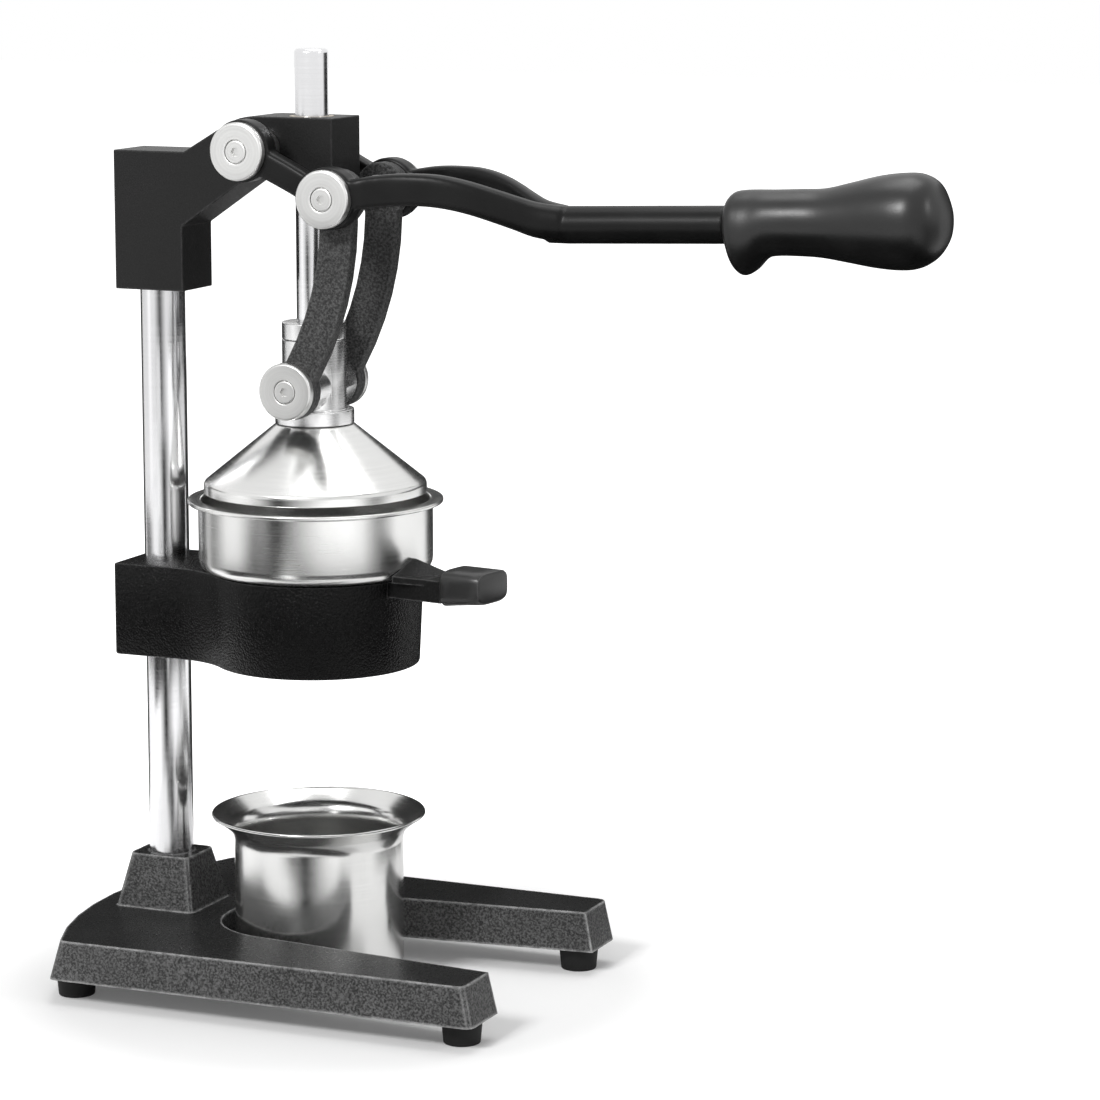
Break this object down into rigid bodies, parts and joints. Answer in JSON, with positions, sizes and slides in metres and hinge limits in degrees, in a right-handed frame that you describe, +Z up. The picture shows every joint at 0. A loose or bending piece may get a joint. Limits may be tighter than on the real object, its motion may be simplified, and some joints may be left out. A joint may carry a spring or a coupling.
{
  "type": "lever citrus juice press",
  "caption": "Bench citrus press: a forked lever and links push a ram and press bell down onto a funnel over a steel cup, on a cast stand.",
  "frame": {"origin": "on the counter, under the middle of the whole object's box", "axes": "+Z up along the column; +X from the column towards the lever's grip; +Y to the press's left seen from the grip, the side away from the camera"},
  "size_m": [0.5024, 0.2072, 0.521],
  "materials": {
    "base_paint": "black paint, satin on top and hammered on the sides",
    "head_paint": "fine satin black paint",
    "bracket_paint": "hammered black paint",
    "lever_paint": "smooth satin black paint",
    "link_paint": "coarse textured dark grey paint",
    "handle_paint": "satin black paint",
    "column_chrome": "bright chrome plate",
    "ram_chrome": "bright chrome plate",
    "crosshead_steel": "polished turned metal",
    "bell_steel": "polished stainless steel",
    "funnel_steel": "brushed stainless steel",
    "cup_steel": "polished stainless steel",
    "cap_steel": "pale brushed metal",
    "bush_bronze": "plain bronze",
    "lever_grip_plastic": "glossy black",
    "handle_grip_plastic": "glossy black",
    "foot_rubber": "matt black",
    "fastener_steel": "plain steel"
  },
  "bodies": {
    "stand": {"base_casting": "base_paint", "foot_rear_near": "foot_rubber", "foot_rear_far": "foot_rubber", "foot_front_near": "foot_rubber", "foot_front_far": "foot_rubber", "foot_screw_rear_near": "fastener_steel", "foot_screw_rear_far": "fastener_steel", "foot_screw_front_near": "fastener_steel", "foot_screw_front_far": "fastener_steel", "column": "column_chrome", "column_washer": "fastener_steel", "column_bolt": "fastener_steel", "head_casting": "head_paint", "head_set_screw_1": "fastener_steel", "head_set_screw_2": "fastener_steel", "guide_bush": "bush_bronze", "main_pivot_pin": "fastener_steel", "main_spacer_near": "fastener_steel", "main_spacer_far": "fastener_steel", "main_near_cap": "cap_steel", "main_near_screw": "fastener_steel", "main_far_cap": "cap_steel", "main_far_screw": "fastener_steel", "bracket_casting": "bracket_paint", "bracket_set_screw_1": "fastener_steel", "bracket_set_screw_2": "fastener_steel", "funnel_bowl": "funnel_steel", "strainer": "funnel_steel", "funnel_handle_bracket": "handle_paint", "funnel_handle_grip": "handle_grip_plastic", "funnel_handle_screw": "fastener_steel"},
    "lever": {"lever_fork": "lever_paint", "lever_bush_near": "bush_bronze", "lever_bush_far": "bush_bronze", "link_pin_near": "fastener_steel", "link_pin_near_cap": "cap_steel", "link_pin_near_screw": "fastener_steel", "link_pin_far": "fastener_steel", "link_pin_far_cap": "cap_steel", "link_pin_far_screw": "fastener_steel", "lever_grip": "lever_grip_plastic"},
    "links": {"link_near": "link_paint", "link_far": "link_paint", "cross_pin": "fastener_steel", "cross_near_cap": "cap_steel", "cross_near_screw": "fastener_steel", "cross_far_cap": "cap_steel", "cross_far_screw": "fastener_steel"},
    "press": {"ram_rod": "ram_chrome", "crosshead": "crosshead_steel", "lock_collar": "crosshead_steel", "press_bell": "bell_steel", "bell_screw": "fastener_steel"},
    "cup": {"juice_cup": "cup_steel"}
  },
  "joints": [
    {"name": "lever_pivot", "type": "hinge", "parent": "stand", "child": "lever", "pos_m": [-0.13365, 0, 0.4676], "axis": [0, -1, 0], "range_deg": [-8, 60]},
    {"name": "link_pivot", "type": "hinge", "parent": "lever", "child": "links", "pos_m": [-0.08265, 0, 0.4436], "axis": [0, -1, 0], "range_deg": [-60.4, 8.2]},
    {"name": "ram_slide", "type": "slide", "parent": "stand", "child": "press", "axis": [0, 0, 1], "range_m": [-0.0076, 0.0567]},
    {"name": "cup_slide", "type": "slide", "parent": "stand", "child": "cup", "axis": [1, 0, 0], "range_m": [0, 0.26]}
  ],
  "couplings": [
    {"joint": "link_pivot", "follows": "lever_pivot", "ratio": -1.004},
    {"joint": "ram_slide", "follows": "lever_pivot", "m_per_rad": 0.05404}
  ]
}
